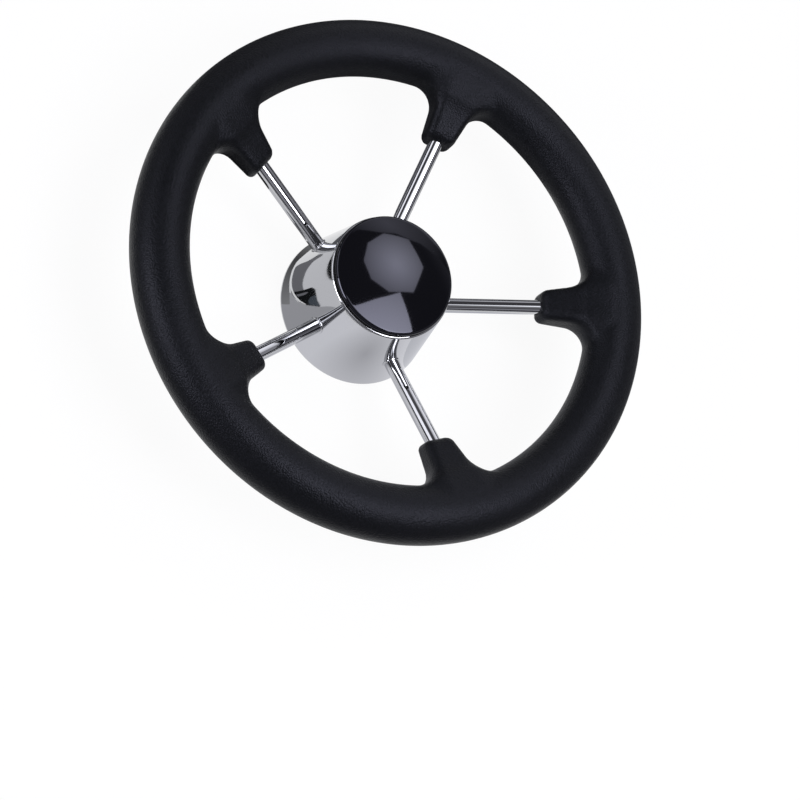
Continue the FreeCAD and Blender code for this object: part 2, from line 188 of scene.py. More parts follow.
def linear(hex_colour):
    """An sRGB hex colour as linear red, green, blue and alpha."""
    channels = [int(hex_colour[i:i + 2], 16) / 255 for i in (1, 3, 5)]
    return [c / 12.92 if c <= 0.04045 else ((c + 0.055) / 1.055) ** 2.4 for c in channels] + [1.0]


def add_node(tree, kind, links=None, values=None, **settings):
    """Adds a node, sets its fields and socket values, and links its inputs from other nodes' outputs."""
    node = tree.nodes.new(kind)
    for field, value in settings.items():
        setattr(node, field, value)
    for socket, value in (values or {}).items():
        node.inputs[socket].default_value = value
    for socket, source in (links or {}).items():
        tree.links.new(source, node.inputs[socket])
    return node


def new_material(name):
    """An empty node material and its tree."""
    material = bpy.data.materials.new(name)
    material.use_nodes = True
    material.node_tree.nodes.clear()
    return material, material.node_tree


def per_metre(size):
    """The scale that makes a texture's cell this size on Object coordinates."""
    return 1.0 / size


def foam_skin():
    """Integral skin polyurethane foam: moulded black with a leather grain, satin where the skin is tight, and
    darker in the grain's valleys as painted shade.
    """
    grip = bpy.context.scene.wheel_grip
    material, tree = new_material("pu_foam_leather_grain")
    place = add_node(tree, "ShaderNodeTexCoord").outputs["Object"]
    wobble = add_node(tree, "ShaderNodeTexNoise", {"Vector": place},
                      {"Scale": per_metre(3 * grip.grain), "Detail": 2.0, "Roughness": 0.5})
    shift = add_node(tree, "ShaderNodeVectorMath", {0: wobble.outputs["Color"]}, {"Scale": 0.6 * grip.grain},
                     operation="SCALE")
    bent = add_node(tree, "ShaderNodeVectorMath", {0: place, 1: shift.outputs[0]}, operation="ADD")
    pebbles = add_node(tree, "ShaderNodeTexVoronoi", {"Vector": bent.outputs[0]},
                       {"Scale": per_metre(grip.grain), "Smoothness": 0.35}, feature="SMOOTH_F1")
    creases = add_node(tree, "ShaderNodeTexNoise", {"Vector": place},
                       {"Scale": per_metre(0.5 * grip.grain), "Detail": 3.0, "Roughness": 0.6})
    relief = add_node(tree, "ShaderNodeMath", {0: creases.outputs["Fac"], 2: pebbles.outputs["Distance"]},
                      {1: -0.35}, operation="MULTIPLY_ADD")
    bump = add_node(tree, "ShaderNodeBump", {"Height": relief.outputs[0]},
                    {"Strength": 0.75, "Distance": 0.28 * grip.grain}, invert=True)
    patches = add_node(tree, "ShaderNodeTexNoise", {"Vector": place},
                       {"Scale": per_metre(45 * MM), "Detail": 3.0, "Roughness": 0.55})
    gloss = add_node(tree, "ShaderNodeMapRange", {"Value": patches.outputs["Fac"]},
                     {"From Min": 0.3, "From Max": 0.7, "To Min": 0.36, "To Max": 0.47})
    # painted shade: the grain's valleys are coloured darker than the tops of its pebbles
    valley = add_node(tree, "ShaderNodeValToRGB", {"Fac": pebbles.outputs["Distance"]})
    valley.color_ramp.elements[0].position = 0.15
    valley.color_ramp.elements[0].color = linear(grip.foam)
    valley.color_ramp.elements[1].position = 0.75
    valley.color_ramp.elements[1].color = linear("#090a0b")
    shader = add_node(tree, "ShaderNodeBsdfPrincipled",
                      {"Base Color": valley.outputs["Color"], "Roughness": gloss.outputs[0],
                       "Normal": bump.outputs[0]},
                      {"IOR": 1.48, "Specular IOR Level": 0.16, "Specular Tint": linear("#e9ebff")})
    add_node(tree, "ShaderNodeOutputMaterial", {"Surface": shader.outputs[0]})
    return material


def polished_steel():
    """Stainless steel 316, machine polished to a mirror: a clear reflection with very fine polishing haze."""
    material, tree = new_material("stainless_316_mirror_polish")
    place = add_node(tree, "ShaderNodeTexCoord").outputs["Object"]
    haze = add_node(tree, "ShaderNodeTexNoise", {"Vector": place},
                    {"Scale": per_metre(14 * MM), "Detail": 4.0, "Roughness": 0.6})
    gloss = add_node(tree, "ShaderNodeMapRange", {"Value": haze.outputs["Fac"]},
                     {"From Min": 0.3, "From Max": 0.7, "To Min": 0.035, "To Max": 0.075})
    waves = add_node(tree, "ShaderNodeTexNoise", {"Vector": place},
                     {"Scale": per_metre(22 * MM), "Detail": 1.0, "Roughness": 0.4})
    bump = add_node(tree, "ShaderNodeBump", {"Height": waves.outputs["Fac"]},
                    {"Strength": 0.12, "Distance": 0.15 * MM})
    steel = linear(bpy.context.scene.wheel_rods.steel)
    shader = add_node(tree, "ShaderNodeBsdfPrincipled",
                      {"Roughness": gloss.outputs[0], "Normal": bump.outputs[0]},
                      {"Base Color": steel, "Metallic": 1.0})
    add_node(tree, "ShaderNodeOutputMaterial", {"Surface": shader.outputs[0]})
    return material


def turned_steel():
    """Stainless steel bar turned on a lathe: grey with fine rings round the wheel's axis."""
    material, tree = new_material("stainless_bar_turned")
    place = add_node(tree, "ShaderNodeTexCoord").outputs["Object"]
    rings = add_node(tree, "ShaderNodeTexWave", {"Vector": place},
                     {"Scale": per_metre(0.5 * MM) / 20, "Distortion": 0.6, "Detail": 2.0},
                     wave_type="RINGS", rings_direction="Z")
    gloss = add_node(tree, "ShaderNodeMapRange", {"Value": rings.outputs["Fac"]},
                     {"To Min": 0.24, "To Max": 0.36})
    bump = add_node(tree, "ShaderNodeBump", {"Height": rings.outputs["Fac"]},
                    {"Strength": 0.25, "Distance": 0.03 * MM})
    shader = add_node(tree, "ShaderNodeBsdfPrincipled",
                      {"Roughness": gloss.outputs[0], "Normal": bump.outputs[0]},
                      {"Base Color": linear("#a9a9ac"), "Metallic": 1.0})
    add_node(tree, "ShaderNodeOutputMaterial", {"Surface": shader.outputs[0]})
    return material


def mill_finish_steel():
    """Round steel bar as rolled and pickled: dull grey, a little mottled."""
    material, tree = new_material("steel_bar_mill_finish")
    place = add_node(tree, "ShaderNodeTexCoord").outputs["Object"]
    mottle = add_node(tree, "ShaderNodeTexNoise", {"Vector": place},
                      {"Scale": per_metre(6 * MM), "Detail": 5.0, "Roughness": 0.65})
    tone = add_node(tree, "ShaderNodeValToRGB", {"Fac": mottle.outputs["Fac"]})
    tone.color_ramp.elements[0].color = linear("#77777a")
    tone.color_ramp.elements[1].color = linear("#98989b")
    shader = add_node(tree, "ShaderNodeBsdfPrincipled", {"Base Color": tone.outputs["Color"]},
                      {"Roughness": 0.5, "Metallic": 1.0})
    add_node(tree, "ShaderNodeOutputMaterial", {"Surface": shader.outputs[0]})
    return material


def gloss_plastic():
    """ABS moulded in a polished tool: deep black, mirror gloss with a very slight waviness from shrinkage."""
    material, tree = new_material("abs_gloss_black")
    place = add_node(tree, "ShaderNodeTexCoord").outputs["Object"]
    shrink = add_node(tree, "ShaderNodeTexNoise", {"Vector": place},
                      {"Scale": per_metre(18 * MM), "Detail": 1.0, "Roughness": 0.4})
    bump = add_node(tree, "ShaderNodeBump", {"Height": shrink.outputs["Fac"]},
                    {"Strength": 0.15, "Distance": 0.2 * MM})
    shader = add_node(tree, "ShaderNodeBsdfPrincipled", {"Normal": bump.outputs[0]},
                      {"Base Color": linear(bpy.context.scene.wheel_cap.plastic), "Roughness": 0.05,
                       "IOR": 1.53, "Specular Tint": linear("#e9eaff")})
    add_node(tree, "ShaderNodeOutputMaterial", {"Surface": shader.outputs[0]})
    return material


def eroded_plastic():
    """The same ABS where the tool was left spark eroded, for a grip on the side: satin black, with its
    specular level cut far down as painted shade, so that the side reads dark beside the cone's edge.
    """
    material, tree = new_material("abs_satin_black_painted_shade")
    place = add_node(tree, "ShaderNodeTexCoord").outputs["Object"]
    pits = add_node(tree, "ShaderNodeTexNoise", {"Vector": place},
                    {"Scale": per_metre(0.15 * MM), "Detail": 3.0, "Roughness": 0.6})
    bump = add_node(tree, "ShaderNodeBump", {"Height": pits.outputs["Fac"]},
                    {"Strength": 0.3, "Distance": 0.02 * MM})
    shader = add_node(tree, "ShaderNodeBsdfPrincipled", {"Normal": bump.outputs[0]},
                      {"Base Color": linear(bpy.context.scene.wheel_cap.plastic), "Roughness": 0.75,
                       "IOR": 1.53, "Specular IOR Level": 0.08})
    add_node(tree, "ShaderNodeOutputMaterial", {"Surface": shader.outputs[0]})
    return material


def seal_rubber():
    """Nitrile rubber ring, moulded: matt black with a faint bloom."""
    material, tree = new_material("nitrile_rubber")
    place = add_node(tree, "ShaderNodeTexCoord").outputs["Object"]
    bloom = add_node(tree, "ShaderNodeTexNoise", {"Vector": place},
                     {"Scale": per_metre(2 * MM), "Detail": 3.0, "Roughness": 0.6})
    gloss = add_node(tree, "ShaderNodeMapRange", {"Value": bloom.outputs["Fac"]},
                     {"To Min": 0.55, "To Max": 0.75})
    shader = add_node(tree, "ShaderNodeBsdfPrincipled", {"Roughness": gloss.outputs[0]},
                      {"Base Color": linear("#17171a"), "IOR": 1.52})
    add_node(tree, "ShaderNodeOutputMaterial", {"Surface": shader.outputs[0]})
    return material


def add_piece(name, mesh, body, slot, material, *nodes):
    """Links a finished mesh to the scene as a piece that rides on a body and stands for CAD nodes."""
    piece = bpy.data.objects.new(name, mesh)
    bpy.context.scene.collection.objects.link(piece)
    mesh.materials.clear()
    mesh.materials.append(material)
    for polygon in mesh.polygons:
        polygon.use_smooth = True
    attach(piece, body)
    if nodes:
        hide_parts(*nodes)
    return piece


def arc(centre, radius, start, end, steps=10):
    """Points (radius, height) on an arc, with its angles in degrees."""
    angles = [math.radians(start + (end - start) * i / steps) for i in range(steps + 1)]
    return [(centre[0] + radius * math.cos(a), centre[1] + radius * math.sin(a)) for a in angles]


def finished_mesh(shape, name):
    """The mesh that a bmesh holds, with its faces turned outwards. The bmesh is freed."""
    bmesh.ops.recalc_face_normals(shape, faces=shape.faces)
    mesh = bpy.data.meshes.new(name)
    shape.to_mesh(mesh)
    shape.free()
    return mesh


def join_hoops(shape, hoops):
    """Faces between neighbouring closed hoops of vertices, from the last hoop back to the first too."""
    for this, following in zip(hoops, hoops[1:] + hoops[:1]):
        for i in range(len(this)):
            after = (i + 1) % len(this)
            shape.faces.new((this[i], following[i], following[after], this[after]))


def turned_mesh(name, outline, segments=256, closed=True):
    """A mesh made by turning an outline of (radius, height) points all the way round Z."""
    shape = bmesh.new()
    rings = []
    for radius, height in outline:
        if radius < ON_AXIS:
            rings.append([shape.verts.new((0, 0, height))])
            continue
        turns = [2 * math.pi * i / segments for i in range(segments)]
        rings.append([shape.verts.new((radius * math.cos(a), radius * math.sin(a), height)) for a in turns])
    pairs = list(zip(rings, rings[1:] + rings[:1])) if closed else list(zip(rings, rings[1:]))
    for lower, upper in pairs:
        if len(lower) == 1 and len(upper) == 1:
            continue
        for i in range(segments):
            corners = [lower[i % len(lower)], lower[(i + 1) % len(lower)],
                       upper[(i + 1) % len(upper)], upper[i % len(upper)]]
            shape.faces.new(list(dict.fromkeys(corners)))
    return finished_mesh(shape, name)


def crease(mesh, angle):
    """Marks edges sharper than an angle, so that smooth shading stops at them."""
    shape = bmesh.new()
    shape.from_mesh(mesh)
    for edge in shape.edges:
        edge.smooth = edge.calc_face_angle(0.0) < angle
    shape.to_mesh(mesh)
    shape.free()


def evaluated_mesh(thing, name):
    """The mesh that an object's modifiers give, as a plain mesh. The object is removed."""
    graph = bpy.context.evaluated_depsgraph_get()
    mesh = bpy.data.meshes.new_from_object(thing.evaluated_get(graph), depsgraph=graph)
    mesh.name = name
    thing.modifiers.clear()
    bpy.data.objects.remove(thing)
    return mesh


def rod_height(along):
    """Height of a rod's centre line at a distance from the wheel's axis."""
    rods = bpy.context.scene.wheel_rods
    return RIM_HEIGHT + rods.lift - (RING_RADIUS - along) * math.tan(rods.slope)


def round_union(a, b, radius):
    """Distance to two shapes joined with a hollow blend of the given radius."""
    near = np.hypot(np.maximum(radius - a, 0), np.maximum(radius - b, 0))
    return np.maximum(radius, np.minimum(a, b)) - near


def round_both(a, b, radius):
    """Distance to what two shapes share, with the edge between them rounded."""
    near = np.hypot(np.maximum(radius + a, 0), np.maximum(radius + b, 0))
    return np.minimum(-radius, np.maximum(a, b)) + near


def grip_distance(points):
    """Signed distance of points from the grip's surface: a round ring joined to one horn for each rod."""
    grip, rods = bpy.context.scene.wheel_grip, bpy.context.scene.wheel_rods
    x, y, z = points.T
    out = np.hypot(x, y)
    ring = np.hypot(out - RING_RADIUS, z - RIM_HEIGHT) - GRIP_RADIUS
    step = 2 * math.pi / rods.count
    turn = (np.arctan2(x, -y) + step / 2) % step - step / 2
    along, across = out * np.cos(turn), out * np.sin(turn)
    root = RING_RADIUS - BAR_RADIUS
    share = np.clip((along - grip.horn_end) / (root - grip.horn_end), 0, 1)
    half_width = (grip.end_width + share * (grip.root_width - grip.end_width)) / 2
    half_depth = (grip.end_depth + share * (grip.root_depth - grip.end_depth)) / 2
    centre = rod_height(along) + grip.horn_lift
    sides = np.abs(across) - half_width + grip.corner
    faces = np.abs(z - centre) - half_depth + grip.corner
    section = np.hypot(np.maximum(sides, 0), np.maximum(faces, 0)) + np.minimum(np.maximum(sides, faces), 0)
    section -= grip.corner
    horn = round_both(section, grip.horn_end - along, grip.nose)
    horn = round_both(horn, along - root, grip.nose)
    below_top = RIM_HEIGHT + GRIP_RADIUS - z
    return round_union(ring, horn, grip.blend * np.clip(below_top / grip.thinning, 0.1, 1))


def onto_grip(points, steps):
    """Moves points along the field's slope until they lie on the surface of the grip."""
    probe = 0.02 * MM
    for _ in range(steps):
        slope = np.empty_like(points)
        for axis in range(3):
            offset = np.zeros(3)
            offset[axis] = probe
            slope[:, axis] = (grip_distance(points + offset) - grip_distance(points - offset)) / (2 * probe)
        size = np.maximum((slope ** 2).sum(1), 1e-6)
        points = points - slope * (grip_distance(points) / size)[:, None]
    return points


class WHEEL_OT_foam_grip(bpy.types.Operator):
    """Moulds the foam grip, a round ring with one horn over the outer end of each rod"""

    bl_idname = "wheel.foam_grip"
    bl_label = "Foam Grip"

    def execute(self, context):
        grip, rods = context.scene.wheel_grip, context.scene.wheel_rods
        shape = bmesh.new()
        around, about = 192, 48
        hoops = []
        for i in range(around):
            a = 2 * math.pi * i / around
            hoop = []
            for j in range(about):
                b = 2 * math.pi * j / about
                out, height = RING_RADIUS + GRIP_RADIUS * math.cos(b), RIM_HEIGHT + GRIP_RADIUS * math.sin(b)
                hoop.append(shape.verts.new((out * math.cos(a), out * math.sin(a), height)))
            hoops.append(hoop)
        join_hoops(shape, hoops)
        root = RING_RADIUS - BAR_RADIUS
        for number in range(rods.count):
            turn = Matrix.Rotation(2 * math.pi * number / rods.count, 4, "Z")
            corners = []
            for along, width, depth in ((grip.horn_end, grip.end_width, grip.end_depth),
                                        (root, grip.root_width, grip.root_depth)):
                height = rod_height(along) + grip.horn_lift
                for side, face in ((-1, -1), (1, -1), (1, 1), (-1, 1)):
                    spot = Vector((side * width / 2, -along, height + face * depth / 2))
                    corners.append(shape.verts.new(turn @ spot))
            end, back = corners[:4], corners[4:]
            shape.faces.new(end)
            shape.faces.new(list(reversed(back)))
            for i in range(4):
                shape.faces.new((end[i], back[i], back[(i + 1) % 4], end[(i + 1) % 4]))
        blank = bpy.data.objects.new("grip_blank", finished_mesh(shape, "grip_rough"))
        context.scene.collection.objects.link(blank)
        remesh = blank.modifiers.new("even_mesh", "REMESH")
        remesh.mode = "VOXEL"
        remesh.voxel_size = grip.voxel
        settling, evening, step = 8, 12, 0.5  # moves onto the surface, rounds of evening out and their share
        mesh = evaluated_mesh(blank, "foam_grip_skin")
        points = np.empty(len(mesh.vertices) * 3)
        mesh.vertices.foreach_get("co", points)
        points = onto_grip(points.reshape(-1, 3), settling)
        ends = np.empty(len(mesh.edges) * 2, int)
        mesh.edges.foreach_get("vertices", ends)
        first, second = ends.reshape(-1, 2).T
        links = np.bincount(ends, minlength=len(points))[:, None]
        for _ in range(evening):
            total = np.zeros_like(points)
            np.add.at(total, first, points[second])
            np.add.at(total, second, points[first])
            points = onto_grip(points + step * (total / links - points), 2)
        mesh.vertices.foreach_set("co", points.ravel())
        mesh.update()
        if len(mesh.vertices) < LEAST_VERTICES:
            raise RuntimeError("the grip's mesh came out empty")
        add_piece("foam_grip_skin", mesh, "wheel", "grip_foam", foam_skin(), "foam_grip")
        return {"FINISHED"}


class WHEEL_OT_rods(bpy.types.Operator):
    """Draws one polished rod for each spoke with Geometry Nodes"""

    bl_idname = "wheel.rods"
    bl_label = "Spoke Rods"

    def execute(self, context):
        rods = context.scene.wheel_rods
        steel = polished_steel()
        tree = bpy.data.node_groups.new("spoke_rods", "GeometryNodeTree")
        sockets = {}
        for name, kind in (("Count", "NodeSocketInt"), ("Radius", "NodeSocketFloat"),
                           ("Inner End", "NodeSocketVector"), ("Outer End", "NodeSocketVector")):
            sockets[name] = tree.interface.new_socket(name, in_out="INPUT", socket_type=kind).identifier
        tree.interface.new_socket("Geometry", in_out="OUTPUT", socket_type="NodeSocketGeometry")
        given = add_node(tree, "NodeGroupInput").outputs
        line = add_node(tree, "GeometryNodeCurvePrimitiveLine",
                        {"Start": given["Inner End"], "End": given["Outer End"]})
        section = add_node(tree, "GeometryNodeCurvePrimitiveCircle", {"Radius": given["Radius"]},
                           {"Resolution": 64})
        rod = add_node(tree, "GeometryNodeCurveToMesh",
                       {"Curve": line.outputs[0], "Profile Curve": section.outputs[0]}, {"Fill Caps": True})
        spots = add_node(tree, "GeometryNodePoints", {"Count": given["Count"]})
        step = add_node(tree, "ShaderNodeMath", {1: given["Count"]}, {0: 2 * math.pi}, operation="DIVIDE")
        index = add_node(tree, "GeometryNodeInputIndex")
        angle = add_node(tree, "ShaderNodeMath", {0: index.outputs[0], 1: step.outputs[0]},
                         operation="MULTIPLY")
        turn = add_node(tree, "ShaderNodeCombineXYZ", {"Z": angle.outputs[0]})
        placed = add_node(tree, "GeometryNodeInstanceOnPoints",
                          {"Points": spots.outputs[0], "Instance": rod.outputs[0],
                           "Rotation": turn.outputs[0]})
        real = add_node(tree, "GeometryNodeRealizeInstances", {"Geometry": placed.outputs[0]})
        painted = add_node(tree, "GeometryNodeSetMaterial", {"Geometry": real.outputs[0]},
                           {"Material": steel})
        add_node(tree, "NodeGroupOutput", {"Geometry": painted.outputs[0]})
        maker = bpy.data.objects.new("rod_maker", bpy.data.meshes.new("rod_maker"))
        context.scene.collection.objects.link(maker)
        modifier = maker.modifiers.new("spoke_rods", "NODES")
        modifier.node_group = tree
        outer = RING_RADIUS - BAR_RADIUS
        modifier[sockets["Count"]] = rods.count
        modifier[sockets["Radius"]] = ROD_RADIUS
        modifier[sockets["Inner End"]] = (0.0, -rods.inner_end, rod_height(rods.inner_end))
        modifier[sockets["Outer End"]] = (0.0, -outer, rod_height(outer))
        mesh = evaluated_mesh(maker, "spoke_rods")
        if not mesh.polygons:
            raise RuntimeError("the rods' node tree made no mesh")
        add_piece("spoke_rods", mesh, "wheel", "polished_steel", steel, *ROD_NODES)
        crease(mesh, math.radians(40))
        return {"FINISHED"}


class WHEEL_OT_weld_beads(bpy.types.Operator):
    """Lays a small polished bead of weld where each rod enters the cone"""

    bl_idname = "wheel.weld_beads"
    bl_label = "Weld Beads"

    def execute(self, context):
        rods, hub = context.scene.wheel_rods, context.scene.wheel_hub
        shrink = (CONE_REAR - hub.front_radius) / CONE_HEIGHT
        spine = Vector((0, -math.cos(rods.slope), math.sin(rods.slope)))
        start = Vector((0, 0, rod_height(0.0)))
        side = Vector((1, 0, 0))
        over = spine.cross(side)
        around, about, tries = 72, 14, 20
        shape = bmesh.new()
        for number in range(rods.count):
            turn = Matrix.Rotation(2 * math.pi * number / rods.count, 4, "Z")
            hoops = []
            for i in range(around):
                a = 2 * math.pi * i / around
                out = math.cos(a) * side + math.sin(a) * over
                spot = start + out * ROD_RADIUS
                for _ in range(tries):
                    gap = (CONE_REAR - shrink * spot.z) - math.hypot(spot.x, spot.y)
                    spot += spine * gap / math.cos(rods.slope)
                hoop = []
                for j in range(about):
                    b = 2 * math.pi * j / about
                    skin = spot + rods.bead * (math.cos(b) * out + math.sin(b) * spine)
                    hoop.append(shape.verts.new(turn @ skin))
                hoops.append(hoop)
            join_hoops(shape, hoops)
        add_piece("weld_beads", finished_mesh(shape, "weld_beads"), "wheel", "polished_steel",
                  bpy.data.materials["stainless_316_mirror_polish"])
        return {"FINISHED"}


class WHEEL_OT_hub_cone(bpy.types.Operator):
    """Spins the hub cone with its rolled front edge, flange and neck"""

    bl_idname = "wheel.hub_cone"
    bl_label = "Hub Cone"

    def execute(self, context):
        hub = context.scene.wheel_hub
        lean = math.atan2(CONE_REAR - hub.front_radius, CONE_HEIGHT)
        edge = hub.front_radius, CONE_HEIGHT
        setback = hub.roll * math.tan((math.pi / 2 - lean) / 2)
        roll_centre = edge[0] - setback, CONE_HEIGHT - hub.roll
        lead_centre = hub.neck_radius + hub.neck_lead, CONE_HEIGHT - hub.neck_lead
        neck_end = CONE_HEIGHT - hub.neck_depth
        under = CONE_HEIGHT - hub.wall
        inner_front = hub.front_radius - hub.wall + hub.wall * math.tan(lean)
        outline = [(CONE_REAR, 0.0)]
        outline += arc(roll_centre, hub.roll, math.degrees(lean), 90, 14)
        outline += arc(lead_centre, hub.neck_lead, 90, 180, 8)
        outline += [(hub.neck_radius, neck_end), (hub.neck_radius + hub.wall, neck_end)]
        outline += [(hub.neck_radius + hub.wall, under), (inner_front, under), (CONE_REAR - hub.wall, 0.0)]
        mesh = turned_mesh("hub_cone_shell", outline)
        piece = add_piece("hub_cone_shell", mesh, "wheel", "polished_steel",
                          bpy.data.materials["stainless_316_mirror_polish"], "hub_cone")
        crease(piece.data, math.radians(30))
        return {"FINISHED"}


class WHEEL_OT_hub_boss(bpy.types.Operator):
    """Turns the boss with its tapered bore and cuts the keyway"""

    bl_idname = "wheel.hub_boss"
    bl_label = "Hub Boss"

    def execute(self, context):
        hub = context.scene.wheel_hub
        cut = hub.boss_chamfer
        outline = [(hub.bore_rear, BOSS_BACK), (BOSS_RADIUS - cut, BOSS_BACK), (BOSS_RADIUS, BOSS_BACK + cut),
                   (BOSS_RADIUS, BOSS_FRONT - cut), (BOSS_RADIUS - cut, BOSS_FRONT),
                   (hub.bore_front, BOSS_FRONT)]
        blank = bpy.data.objects.new("boss_blank", turned_mesh("boss_blank", outline, 128))
        context.scene.collection.objects.link(blank)
        margin = 2 * MM
        rear, front = hub.bore_rear + hub.key_depth, hub.bore_front + hub.key_depth
        growth = (rear - front) / (BOSS_FRONT - BOSS_BACK)
        shape = bmesh.new()
        corners = []
        for height in (BOSS_BACK - margin, BOSS_FRONT + margin):
            reach = front + growth * (BOSS_FRONT - height)
            for side, out in ((-1, 0), (1, 0), (1, reach), (-1, reach)):
                corners.append(shape.verts.new((side * hub.key_width / 2, out, height)))
        low, high = corners[:4], corners[4:]
        shape.faces.new(low)
        shape.faces.new(high)
        for i in range(4):
            shape.faces.new((low[i], low[(i + 1) % 4], high[(i + 1) % 4], high[i]))
        cutter = bpy.data.objects.new("keyway_cutter", finished_mesh(shape, "keyway_cutter"))
        context.scene.collection.objects.link(cutter)
        keyway = blank.modifiers.new("keyway", "BOOLEAN")
        keyway.object = cutter
        keyway.operation = "DIFFERENCE"
        keyway.solver = "EXACT"
        mesh = evaluated_mesh(blank, "hub_boss_turned")
        bpy.data.objects.remove(cutter)
        if not mesh.polygons:
            raise RuntimeError("the keyway cut left no boss")
        add_piece("hub_boss_turned", mesh, "wheel", "turned_steel", turned_steel(), "hub_boss")
        crease(mesh, math.radians(30))
        return {"FINISHED"}


class WHEEL_OT_centre_cap(bpy.types.Operator):
    """Moulds the domed cap with its plug and lays the rubber ring in the plug's groove"""

    bl_idname = "wheel.centre_cap"
    bl_label = "Centre Cap"

    def execute(self, context):
        cap = context.scene.wheel_cap
        shoulder = CONE_HEIGHT + cap.side
        rise = CAP_TOP - shoulder
        dome = (CAP_RADIUS ** 2 + rise ** 2) / (2 * rise)
        dome_centre = CAP_TOP - dome
        reach = CAP_RADIUS - cap.round
        round_height = dome_centre + math.sqrt((dome - cap.round) ** 2 - reach ** 2)
        lean = math.degrees(math.atan2(round_height - dome_centre, reach))
        ceiling = shoulder - cap.wall
        groove_floor = SEAL_RADIUS - SEAL_THICKNESS
        low, high = SEAL_HEIGHT - cap.groove / 2, SEAL_HEIGHT + cap.groove / 2
        inner = cap.plug_radius - cap.plug_wall
        outline = arc((0.0, dome_centre), dome, 90, lean, 48)
        outline += arc((reach, round_height), cap.round, lean, 0, 16)[1:]
        outline += [(CAP_RADIUS, CONE_HEIGHT), (CAP_RADIUS - cap.wall, CONE_HEIGHT),
                    (CAP_RADIUS - cap.wall, ceiling), (cap.plug_radius, ceiling), (cap.plug_radius, high),
                    (groove_floor, high), (groove_floor, low), (cap.plug_radius, low),
                    (cap.plug_radius, CAP_BOTTOM), (inner, CAP_BOTTOM), (inner, ceiling)]
        inner_rise = CAP_TOP - cap.wall - ceiling
        inner_dome = (inner ** 2 + inner_rise ** 2) / (2 * inner_rise)
        edge = math.degrees(math.acos(inner / inner_dome))
        outline += arc((0.0, CAP_TOP - cap.wall - inner_dome), inner_dome, edge, 90, 24)[1:]
        outline[0] = 0.0, outline[0][1]
        outline[-1] = 0.0, outline[-1][1]
        mesh = turned_mesh("centre_cap_moulding", outline, closed=False)
        add_piece("centre_cap_moulding", mesh, "cap", "cap_plastic", gloss_plastic(), "centre_cap")
        # the lowest band of the cap's side gets the satin copy, which is partly a satin face and partly
        # painted shade beside the cone's edge
        mesh.materials.append(eroded_plastic())
        for polygon in mesh.polygons:
            polygon.material_index = int(polygon.center.z < CONE_HEIGHT + cap.satin)
        crease(mesh, math.radians(30))
        half = SEAL_THICKNESS / 2
        section = arc((SEAL_RADIUS - half, SEAL_HEIGHT), half, 0, 360, 24)[:-1]
        add_piece("cap_seal_moulding", turned_mesh("cap_seal_moulding", section, 128), "cap", "seal_rubber",
                  seal_rubber(), "cap_seal_ring")
        return {"FINISHED"}


class WHEEL_OT_rim_ring(bpy.types.Operator):
    """Bends the round bar that the foam is moulded over"""

    bl_idname = "wheel.rim_ring"
    bl_label = "Rim Ring"

    def execute(self, context):
        section = arc((RING_RADIUS, RIM_HEIGHT), BAR_RADIUS, 0, 360, 24)[:-1]
        mesh = turned_mesh("rim_ring_bar", section, 128)
        add_piece("rim_ring_bar", mesh, "wheel", "rolled_steel", mill_finish_steel(), "rim_ring")
        return {"FINISHED"}


def emitter(name, shade, strength):
    """The surface of a softbox: an even glow of one colour."""
    material, tree = new_material(name)
    glow = add_node(tree, "ShaderNodeEmission", values={"Color": linear(shade), "Strength": strength})
    add_node(tree, "ShaderNodeOutputMaterial", {"Surface": glow.outputs[0]})
    return material


def fading_emitter(name, shade, centre, reach, strength, far_strength):
    """The surface of a softbox or card whose glow goes evenly from one strength at a point to another at its
    reach and past it. The softboxes are brightest at that point. The rim and under cards are weakest there,
    as painted shade.
    """
    material, tree = new_material(name)
    place = add_node(tree, "ShaderNodeTexCoord").outputs["Object"]
    away = add_node(tree, "ShaderNodeVectorMath", {0: place}, {1: centre}, operation="DISTANCE")
    level = add_node(tree, "ShaderNodeMapRange", {"Value": away.outputs["Value"]},
                     {"From Max": reach, "To Min": strength, "To Max": far_strength})
    glow = add_node(tree, "ShaderNodeEmission", {"Strength": level.outputs[0]}, {"Color": linear(shade)})
    add_node(tree, "ShaderNodeOutputMaterial", {"Surface": glow.outputs[0]})
    return material


def add_panel(name, place, material, faces=None):
    """A studio panel that the camera doesn't see. It is one flat face unless its faces are given."""
    mesh = bpy.data.meshes.new(name)
    mesh.from_pydata(place, [], faces or [tuple(range(len(place)))])
    mesh.materials.append(material)
    panel = bpy.data.objects.new(name, mesh)
    bpy.context.scene.collection.objects.link(panel)
    panel.visible_camera = False
    return panel


def facing_polygon(direction, distance, radius, sides, spin):
    """Corners of an even polygon that faces the wheel from a direction."""
    away = Vector(direction).normalized()
    turn = away.to_track_quat("Z", "Y").to_matrix()
    angles = [spin + 2 * math.pi * i / sides for i in range(sides)]
    return [away * distance + turn @ Vector((radius * math.cos(a), radius * math.sin(a), 0)) for a in angles]


def sky_polygon(corners, distance):
    """Points at one distance from the wheel, given as (azimuth, elevation) in degrees."""
    angles = [(math.radians(azimuth), math.radians(elevation)) for azimuth, elevation in corners]
    return [distance * Vector((math.cos(a) * math.cos(e), math.sin(a) * math.cos(e), math.sin(e)))
            for a, e in angles]


def flat_arc(inner, outer, start, end, height, steps=24):
    """Corners of a flat arc round the wheel's axis, with its angles in degrees."""
    angles = [math.radians(start + (end - start) * i / steps) for i in range(steps + 1)]
    rim = [(outer * math.cos(a), outer * math.sin(a), height) for a in angles]
    return rim + [(inner * math.cos(a), inner * math.sin(a), height) for a in reversed(angles)]


